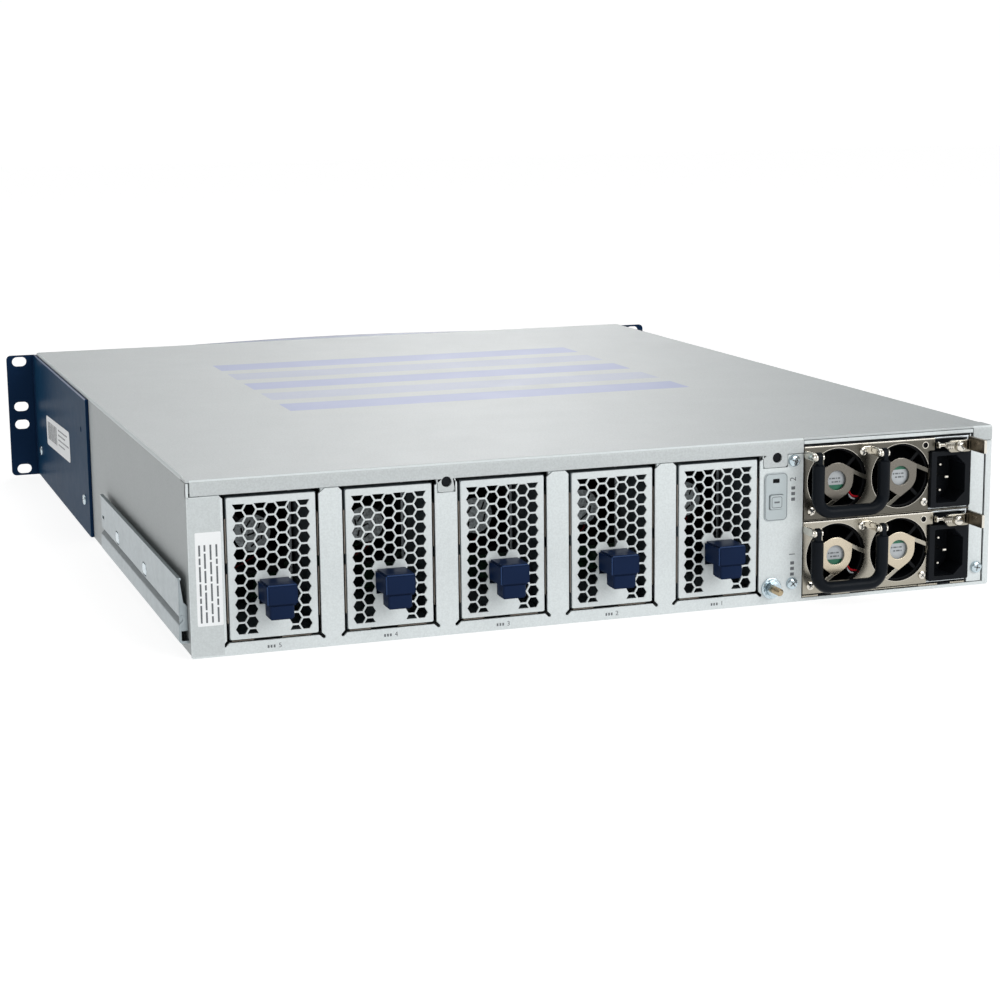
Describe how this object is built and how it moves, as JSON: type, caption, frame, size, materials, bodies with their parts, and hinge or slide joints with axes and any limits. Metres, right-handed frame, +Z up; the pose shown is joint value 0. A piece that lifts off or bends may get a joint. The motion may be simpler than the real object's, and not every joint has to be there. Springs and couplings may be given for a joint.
{
  "type": "rack firewall appliance",
  "caption": "Two-unit rack network security appliance: silver steel chassis, navy rack ears and bezel, hot-swap fan modules and stacked power supplies at the rear.",
  "frame": {"origin": "centre of the chassis underside", "axes": "+Z up, +Y out of the rear face with the fans and power supplies, -Y out of the front bezel, +X to the side of fan module 5"},
  "size_m": [0.4826, 0.5815, 0.088],
  "materials": {
    "chassis_steel": "silver-grey fine-texture powder coat on sheet steel",
    "navy_paint": "satin navy paint",
    "zinc": "bright zinc plate, faintly blue",
    "nickel": "warm nickel plate with a fine grain",
    "blue_plastic": "moulded navy-blue plastic, satin",
    "black_plastic": "moulded black plastic",
    "handle_sleeve": "black vinyl sleeve, satin",
    "circuit_board": "green solder mask",
    "heatsink": "bare extruded aluminium",
    "grey_overlay": "grey satin keypad plastic"
  },
  "bodies": {
    "chassis": {"chassis_base": "chassis_steel", "top_cover": "chassis_steel", "psu_cage": "chassis_steel", "front_panel": "chassis_steel", "front_bezel": "navy_paint", "copper_ports": "zinc", "fibre_ports": "zinc", "rack_ear_left": "navy_paint", "rack_ear_right": "navy_paint", "inner_rail_left": "chassis_steel", "inner_rail_right": "chassis_steel", "mainboard": "circuit_board", "processor_heatsink": "heatsink", "memory_modules": "circuit_board", "fan_backplane": "circuit_board", "ground_stud": "zinc", "uid_panel": "grey_overlay"},
    "power_button": {"power_button": "grey_overlay"},
    "uid_button": {"uid_button": "grey_overlay"},
    "fan_module_1": {"fan_tray_1": "chassis_steel", "fan_housing_1": "black_plastic"},
    "fan_rotor_1": {"fan_rotor_1": "black_plastic"},
    "fan_latch_1": {"fan_latch_1": "blue_plastic"},
    "fan_module_2": {"fan_tray_2": "chassis_steel", "fan_housing_2": "black_plastic"},
    "fan_rotor_2": {"fan_rotor_2": "black_plastic"},
    "fan_latch_2": {"fan_latch_2": "blue_plastic"},
    "fan_module_3": {"fan_tray_3": "chassis_steel", "fan_housing_3": "black_plastic"},
    "fan_rotor_3": {"fan_rotor_3": "black_plastic"},
    "fan_latch_3": {"fan_latch_3": "blue_plastic"},
    "fan_module_4": {"fan_tray_4": "chassis_steel", "fan_housing_4": "black_plastic"},
    "fan_rotor_4": {"fan_rotor_4": "black_plastic"},
    "fan_latch_4": {"fan_latch_4": "blue_plastic"},
    "fan_module_5": {"fan_tray_5": "chassis_steel", "fan_housing_5": "black_plastic"},
    "fan_rotor_5": {"fan_rotor_5": "black_plastic"},
    "fan_latch_5": {"fan_latch_5": "blue_plastic"},
    "psu_1": {"psu_case_1": "nickel", "psu_board_1": "circuit_board", "psu_face_1": "nickel", "psu_fans_1": "black_plastic", "psu_inlet_1": "black_plastic"},
    "psu_rotor_1a": {"psu_rotor_1a": "black_plastic"},
    "psu_rotor_1b": {"psu_rotor_1b": "black_plastic"},
    "psu_handle_1": {"psu_handle_1": "handle_sleeve"},
    "psu_latch_1": {"psu_latch_1": "nickel"},
    "psu_2": {"psu_case_2": "nickel", "psu_board_2": "circuit_board", "psu_face_2": "nickel", "psu_fans_2": "black_plastic", "psu_inlet_2": "black_plastic"},
    "psu_rotor_2a": {"psu_rotor_2a": "black_plastic"},
    "psu_rotor_2b": {"psu_rotor_2b": "black_plastic"},
    "psu_handle_2": {"psu_handle_2": "handle_sleeve"},
    "psu_latch_2": {"psu_latch_2": "nickel"}
  },
  "joints": [
    {"name": "power_button_press", "type": "slide", "parent": "chassis", "child": "power_button", "axis": [0, 1, 0], "range_m": [0, 0.002], "stiffness_N_per_m": 300},
    {"name": "uid_button_press", "type": "slide", "parent": "chassis", "child": "uid_button", "axis": [0, -1, 0], "range_m": [0, 0.0008], "stiffness_N_per_m": 300},
    {"name": "fan_module_1_slide", "type": "slide", "parent": "chassis", "child": "fan_module_1", "axis": [0, 1, 0], "range_m": [0, 0.09]},
    {"name": "fan_rotor_1_spin", "type": "hinge", "parent": "fan_module_1", "child": "fan_rotor_1", "pos_m": [-0.0583, 0.207, 0.051], "axis": [0, 1, 0], "continuous": true},
    {"name": "fan_latch_1_lift", "type": "hinge", "parent": "fan_module_1", "child": "fan_latch_1", "pos_m": [-0.0583, 0.2685, 0.036], "axis": [1, 0, 0], "range_deg": [0, 8]},
    {"name": "fan_module_2_slide", "type": "slide", "parent": "chassis", "child": "fan_module_2", "axis": [0, 1, 0], "range_m": [0, 0.09]},
    {"name": "fan_rotor_2_spin", "type": "hinge", "parent": "fan_module_2", "child": "fan_rotor_2", "pos_m": [0.00105, 0.207, 0.051], "axis": [0, 1, 0], "continuous": true},
    {"name": "fan_latch_2_lift", "type": "hinge", "parent": "fan_module_2", "child": "fan_latch_2", "pos_m": [0.00105, 0.2685, 0.036], "axis": [1, 0, 0], "range_deg": [0, 8]},
    {"name": "fan_module_3_slide", "type": "slide", "parent": "chassis", "child": "fan_module_3", "axis": [0, 1, 0], "range_m": [0, 0.09]},
    {"name": "fan_rotor_3_spin", "type": "hinge", "parent": "fan_module_3", "child": "fan_rotor_3", "pos_m": [0.0604, 0.207, 0.051], "axis": [0, 1, 0], "continuous": true},
    {"name": "fan_latch_3_lift", "type": "hinge", "parent": "fan_module_3", "child": "fan_latch_3", "pos_m": [0.0604, 0.2685, 0.036], "axis": [1, 0, 0], "range_deg": [0, 8]},
    {"name": "fan_module_4_slide", "type": "slide", "parent": "chassis", "child": "fan_module_4", "axis": [0, 1, 0], "range_m": [0, 0.09]},
    {"name": "fan_rotor_4_spin", "type": "hinge", "parent": "fan_module_4", "child": "fan_rotor_4", "pos_m": [0.11975, 0.207, 0.051], "axis": [0, 1, 0], "continuous": true},
    {"name": "fan_latch_4_lift", "type": "hinge", "parent": "fan_module_4", "child": "fan_latch_4", "pos_m": [0.11975, 0.2685, 0.036], "axis": [1, 0, 0], "range_deg": [0, 8]},
    {"name": "fan_module_5_slide", "type": "slide", "parent": "chassis", "child": "fan_module_5", "axis": [0, 1, 0], "range_m": [0, 0.09]},
    {"name": "fan_rotor_5_spin", "type": "hinge", "parent": "fan_module_5", "child": "fan_rotor_5", "pos_m": [0.1791, 0.207, 0.051], "axis": [0, 1, 0], "continuous": true},
    {"name": "fan_latch_5_lift", "type": "hinge", "parent": "fan_module_5", "child": "fan_latch_5", "pos_m": [0.1791, 0.2685, 0.036], "axis": [1, 0, 0], "range_deg": [0, 8]},
    {"name": "psu_1_slide", "type": "slide", "parent": "chassis", "child": "psu_1", "axis": [0, 1, 0], "range_m": [0, 0.22]},
    {"name": "psu_rotor_1a_spin", "type": "hinge", "parent": "psu_1", "child": "psu_rotor_1a", "pos_m": [-0.1269, 0.2525, 0.0236], "axis": [0, 1, 0], "continuous": true},
    {"name": "psu_rotor_1b_spin", "type": "hinge", "parent": "psu_1", "child": "psu_rotor_1b", "pos_m": [-0.1648, 0.2525, 0.0236], "axis": [0, 1, 0], "continuous": true},
    {"name": "psu_handle_1_lift", "type": "hinge", "parent": "psu_1", "child": "psu_handle_1", "pos_m": [-0.12945, 0.2805, 0.0389], "axis": [1, 0, 0], "range_deg": [0, 90]},
    {"name": "psu_latch_1_press", "type": "hinge", "parent": "psu_1", "child": "psu_latch_1", "pos_m": [-0.1978, 0.2731, 0.0382], "axis": [0, -1, 0], "range_deg": [0, 12]},
    {"name": "psu_2_slide", "type": "slide", "parent": "chassis", "child": "psu_2", "axis": [0, 1, 0], "range_m": [0, 0.22]},
    {"name": "psu_rotor_2a_spin", "type": "hinge", "parent": "psu_2", "child": "psu_rotor_2a", "pos_m": [-0.1269, 0.2525, 0.064], "axis": [0, 1, 0], "continuous": true},
    {"name": "psu_rotor_2b_spin", "type": "hinge", "parent": "psu_2", "child": "psu_rotor_2b", "pos_m": [-0.1648, 0.2525, 0.064], "axis": [0, 1, 0], "continuous": true},
    {"name": "psu_handle_2_lift", "type": "hinge", "parent": "psu_2", "child": "psu_handle_2", "pos_m": [-0.12945, 0.2805, 0.0793], "axis": [1, 0, 0], "range_deg": [0, 90]},
    {"name": "psu_latch_2_press", "type": "hinge", "parent": "psu_2", "child": "psu_latch_2", "pos_m": [-0.1978, 0.2731, 0.0786], "axis": [0, -1, 0], "range_deg": [0, 12]}
  ]
}
